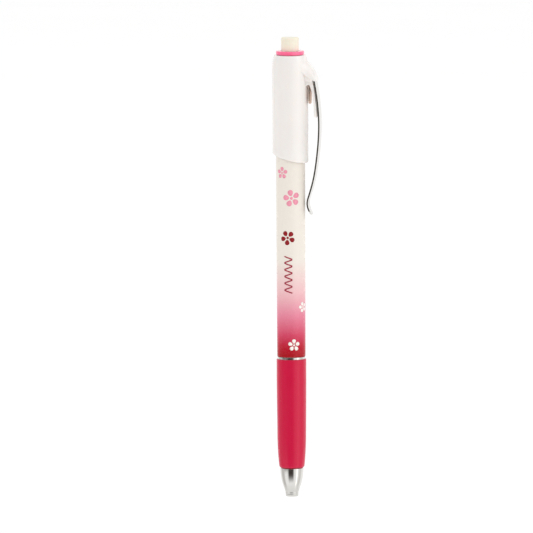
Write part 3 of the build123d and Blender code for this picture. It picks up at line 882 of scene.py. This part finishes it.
# The cone, its pipe and the lead come out downwards, so the floor lies clear of them
FLOOR_DROP = 48.0
CAMERA_AZIMUTH = 11.0
CAMERA_ELEVATION = 6.0
DOME_ZONES = [
    # (middle azimuth, full and faded half-widths, faded and full low edge, full and faded high edge, glow)
    (-104, 12, 30, -60, -40, 50, 70, (0.62, 0.61, 0.6)),
    (92, 9, 24, -60, -40, 50, 70, (0.76, 0.75, 0.73)),
    (54, 4, 10, -70, -50, 50, 65, (1.6, 1.58, 1.54)),
    (-58, 16, 32, -17, -9, 30, 50, (0.22, 0.21, 0.2)),
    (-10, 17, 40, -40, -18, 30, 55, (0.06, 0.05, 0.046)),
]


def ease(value, start, end):
    """0 before start and 1 after end, with a smooth rise between them."""
    share = min(max((value - start) / (end - start), 0), 1)
    return share * share * (3 - 2 * share)


def from_camera(turn, lift):
    """A unit vector at degrees round from the camera's side and degrees up."""
    angle, tilt = math.radians(turn + CAMERA_AZIMUTH), math.radians(lift)
    return Vector((math.sin(angle) * math.cos(tilt), -math.cos(angle) * math.cos(tilt), math.sin(tilt)))


def glow_at(turn, lift):
    """The dome's colour in one direction: white, with its zones painted over it."""
    glow = Vector((1.0, 1.0, 1.0))
    for middle, full, faded, dark_low, low, high, dark_high, colour in DOME_ZONES:
        off = abs((turn - middle + 180) % 360 - 180)
        across = 1 - ease(off, full, faded)
        upright = ease(lift, dark_low, low) * (1 - ease(lift, high, dark_high))
        glow = glow.lerp(Vector(colour), across * upright)
    return glow


def glowing(obj, fading):
    """Gives obj a light of its painted "glow": a colour, or a strength that fades to clear."""
    material = bpy.data.materials.new(obj.name + "_glow")
    material.use_nodes = True
    tree = material.node_tree
    tree.nodes.clear()
    glow = tree.nodes.new("ShaderNodeAttribute")
    glow.attribute_name = "glow"
    light = tree.nodes.new("ShaderNodeEmission")
    output = tree.nodes.new("ShaderNodeOutputMaterial")
    surface = light.outputs["Emission"]
    if fading:
        light.inputs["Color"].default_value = (0.86, 0.86, 0.85, 1.0)
        clear = tree.nodes.new("ShaderNodeBsdfTransparent")
        mix = tree.nodes.new("ShaderNodeMixShader")
        tree.links.new(glow.outputs["Fac"], mix.inputs["Fac"])
        tree.links.new(clear.outputs["BSDF"], mix.inputs[1])
        tree.links.new(surface, mix.inputs[2])
        surface = mix.outputs["Shader"]
    else:
        tree.links.new(glow.outputs["Color"], light.inputs["Color"])
    tree.links.new(surface, output.inputs["Surface"])
    obj.data.materials.append(material)
    hide_from_all_but_gloss(obj)


def make_dome():
    """What glossy pieces mirror: a white studio with a dark front, a softbox and grey flags."""
    around, up, size = 120, 60, 2.0
    verts, glows = [], []
    for row in range(up + 1):
        lift = -90 + 180 * row / up
        for column in range(around):
            turn = -180 + 360 * column / around
            verts.append(from_camera(turn, lift) * size)
            glows.append((*glow_at(turn, lift), 1.0))
    dome = plain_mesh("dome", verts, rings_of_faces(up, around))
    colours = dome.data.color_attributes.new("glow", "FLOAT_COLOR", "POINT")
    colours.data.foreach_set("color", np.array(glows, np.float32).ravel())
    glowing(dome, fading=False)


def make_glint():
    """Bright table round the nozzle, fading outwards, that only glossy pieces see."""
    bright, faded, around, rings = 3.0, 10.0, 48, 12
    verts, strengths = [], []
    for ring in range(rings + 1):
        wide = faded * ring / rings
        strengths += [1 - ease(wide, bright, faded)] * around
        for step in range(around):
            angle = 2 * math.pi * step / around
            verts.append((wide * MM * math.cos(angle), wide * MM * math.sin(angle), (TIP - 0.02) * MM))
    glint = plain_mesh("glint", verts, rings_of_faces(rings, around))
    strength = glint.data.attributes.new("glow", "FLOAT", "POINT")
    strength.data.foreach_set("value", np.array(strengths, np.float32))
    glowing(glint, fading=True)


def hide_from_all_but_gloss(obj):
    obj.visible_camera = False
    obj.visible_diffuse = False
    obj.visible_transmission = False
    obj.visible_shadow = False


def make_stage():
    floor_finish = Finish("paper_floor", 0.9)
    floor_finish.mottled((0.995, 0.995, 0.995, 1.0), (0.985, 0.985, 0.985, 1.0), 40.0)
    wide, level = 6.0, (TIP - FLOOR_DROP) * MM
    corners = [(x * wide, y * wide, level) for x, y in ((-1, -1), (1, -1), (1, 1), (-1, 1))]
    floor = plain_mesh("floor", corners, [(0, 1, 2, 3)])
    floor.data.materials.append(floor_finish.material)
    floor.visible_glossy = False

    make_dome()
    make_glint()

    world = bpy.data.worlds.new("studio")
    world.use_nodes = True
    world.node_tree.nodes["Background"].inputs["Color"].default_value = (1.0, 1.0, 1.0, 1.0)
    world.node_tree.nodes["Background"].inputs["Strength"].default_value = 1.0
    bpy.context.scene.world = world

    lamp = bpy.data.lights.new("key", "AREA")
    lamp.energy = 0.85
    lamp.size = 0.5
    key = linked("key", lamp)
    key.location = (0.85, -0.25, 0.4)
    key.rotation_euler = (Vector((0, 0, 0.03)) - key.location).to_track_quat("-Z", "Y").to_euler()


def make_camera():
    """The photograph's viewpoint: a long lens, slightly above, with the pencil right of the centre."""
    lens = bpy.data.cameras.new("camera")
    lens.lens = 917.2
    lens.sensor_width = 36.0
    camera = linked("camera", lens)
    turn, tilt, roll = (math.radians(a) for a in (CAMERA_AZIMUTH, CAMERA_ELEVATION, 0.27))
    back = Vector((math.sin(turn) * math.cos(tilt), -math.cos(turn) * math.cos(tilt), math.sin(tilt)))
    right = Vector((math.cos(turn), math.sin(turn), 0))
    rise = back.cross(right)
    rolled_rise = rise * math.cos(roll) + right * math.sin(roll)
    rolled_right = right * math.cos(roll) - rise * math.sin(roll)
    camera.location = Vector((0, 0, (TIP + 72.2) * MM)) + back * 4.24 - right * 0.00765
    rotation = Matrix((rolled_right, rolled_rise, back)).transposed()
    camera.rotation_euler = rotation.to_euler()
    bpy.context.scene.camera = camera


# ---------------------------------------------------------------- assembly


def painted(material, *nodes):
    """A better material for CAD pieces that keep their own mesh."""
    for node in nodes:
        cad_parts[node].material_slots[0].material = material


make_stage()
make_camera()

white_cap = plastic("cap_white", linear(242, 237, 233), linear(239, 233, 229), 0.14, scatter=0.35)
milky = plastic("milky_plastic", linear(232, 230, 222), linear(222, 219, 210), 0.42, scatter=0.3)
plating = chrome("bright_chrome")

finished(make_barrel(), barrel_plastic(), "barrel", "barrel")
finished(make_grip(), soft_grip(), "barrel", "rubber_grip")
finished(make_trim_ring(), plating, "barrel", "trim_ring")
finished(make_nose_cone(), chrome("cone_chrome"), "nose", "nose_cone")
finished(make_clip(), chrome("clip_chrome"), "clip", "clip")
finished(make_cap(), white_cap, "cap", "cap_sleeve")
# The leg's warm brown tint is painted shade: it stands for the warm shaded look of the leg between the sleeve
# and the tongue.
finished(make_clip_root(), chrome("leg_chrome", (240, 216, 198), 0.4), "cap", "clip_root")
finished(make_eraser(), eraser_compound(), "eraser", "eraser")
make_prints()

spring_wire = turned_metal("spring_wire", linear(188, 188, 190), linear(150, 150, 154), 0.3)
spring = finished(make_spring(), spring_wire, "barrel", "chuck_spring")
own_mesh(spring)

painted(rim_plastic(), "guide_tube")
painted(milky, "lead_reservoir", "chuck_connector", "helix_sleeve", "eraser_carrier", "tip_slider")
painted(turned_metal("turned_brass", linear(214, 178, 110), linear(196, 158, 92)), "chuck", "clutch_ring")
steel = turned_metal("turned_steel", linear(196, 195, 192), linear(172, 171, 168))
painted(steel, "chuck_housing", "lead_pipe")
painted(plastic("black_rubber", linear(34, 33, 33), linear(24, 24, 24), 0.6, scatter=0.0), "lead_brake")
painted(marking_lead(), "lead", "spare_leads")

bpy.context.scene.view_settings.view_transform = "Standard"
